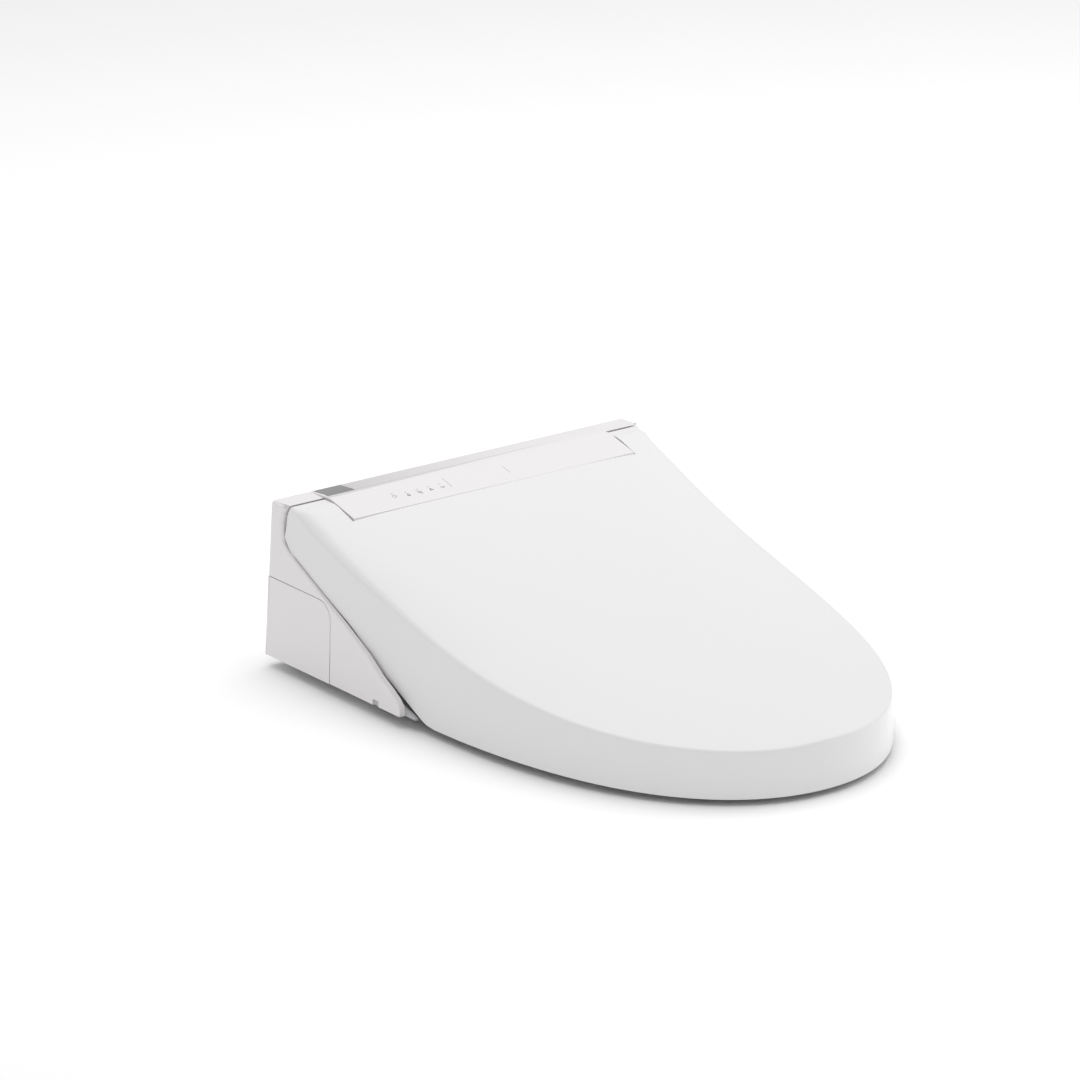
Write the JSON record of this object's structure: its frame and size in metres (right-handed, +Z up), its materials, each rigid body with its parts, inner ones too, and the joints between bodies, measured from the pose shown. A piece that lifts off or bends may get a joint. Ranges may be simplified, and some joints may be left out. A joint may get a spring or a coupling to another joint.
{
  "type": "electric bidet seat",
  "caption": "Slim electric bidet seat: a rear unit with wash wand and warm air fan carries a heated seat ring and a sloping one-piece lid on one shared hinge.",
  "frame": {"origin": "bottom centre of the whole object's box, on the plane of the bowl's rim", "axes": "+Z up, -Y to the front tip of the seat and lid, +X to the right when seen from the front of the bowl with the unit behind"},
  "size_m": [0.3856, 0.53, 0.152],
  "materials": {
    "gloss_white": "glossy moulded white plastic",
    "satin_white": "satin moulded white plastic",
    "white_abs": "matt white plastic",
    "grey_abs": "fine matt grey plastic",
    "black_plastic": "matt black plastic",
    "rubber": "soft dark grey rubber",
    "smoked_window": "glossy grey tinted plastic",
    "steel": "plain steel",
    "steel_plate": "pressed zinc-plated steel",
    "chrome": "polished chrome",
    "foil": "thin aluminium foil",
    "circuit_board": "green circuit board"
  },
  "bodies": {
    "mounting_plate": {"base_plate": "steel_plate"},
    "unit": {"lower_case": "grey_abs", "upper_case": "gloss_white", "side_cover_left": "gloss_white", "side_cover_right": "gloss_white", "sensor_window": "smoked_window", "indicator_panel": "gloss_white", "wand_cradle": "grey_abs", "wand_motor": "black_plastic", "water_inlet": "chrome", "inlet_valve": "grey_abs", "water_heater": "white_abs", "air_pump": "black_plastic", "flow_valve": "grey_abs", "fan_housing": "grey_abs", "fan_motor": "steel", "air_duct": "grey_abs", "air_heater": "steel", "control_board": "circuit_board", "power_board": "circuit_board", "transformer": "black_plastic", "cord_gland": "rubber", "hinge_pin_left": "steel", "hinge_block_left": "grey_abs", "hinge_pin_right": "steel", "hinge_block_right": "grey_abs", "seat_damper": "steel", "lid_damper": "steel"},
    "wand": {"wand_tube": "satin_white", "wand_tip": "satin_white"},
    "air_flap": {"air_flap": "gloss_white"},
    "fan_wheel": {"fan_wheel": "black_plastic"},
    "release_button": {"release_button": "grey_abs"},
    "seat": {"seat_shell": "gloss_white", "seat_base": "gloss_white", "seat_heater": "foil", "seat_bumper_front_left": "rubber", "seat_bumper_front_right": "rubber", "seat_bumper_rear_left": "rubber", "seat_bumper_rear_right": "rubber"},
    "lid": {"lid_shell": "gloss_white", "lid_bumper_left": "rubber", "lid_bumper_right": "rubber"}
  },
  "joints": [
    {"name": "unit_slide", "type": "slide", "parent": "mounting_plate", "child": "unit", "axis": [0, -1, 0], "range_m": [0, 0.035]},
    {"name": "seat_hinge", "type": "hinge", "parent": "unit", "child": "seat", "pos_m": [0, 0.2185, 0.134], "axis": [-1, 0, 0], "range_deg": [0, 98]},
    {"name": "lid_hinge", "type": "hinge", "parent": "seat", "child": "lid", "pos_m": [0, 0.2185, 0.134], "axis": [1, 0, 0], "range_deg": [-105, 0]},
    {"name": "wand_slide", "type": "slide", "parent": "unit", "child": "wand", "axis": [0, -0.9063, -0.4226], "range_m": [0, 0.068]},
    {"name": "air_flap_hinge", "type": "hinge", "parent": "unit", "child": "air_flap", "pos_m": [0.059, 0.1379, 0.05], "axis": [-1, 0, 0], "range_deg": [0, 60]},
    {"name": "fan_spin", "type": "hinge", "parent": "unit", "child": "fan_wheel", "pos_m": [0.092, 0.213, 0.028], "axis": [0, 0, 1], "continuous": true},
    {"name": "release_button_press", "type": "slide", "parent": "unit", "child": "release_button", "axis": [1, 0, 0], "range_m": [0, 0.003], "stiffness_N_per_m": 600}
  ]
}
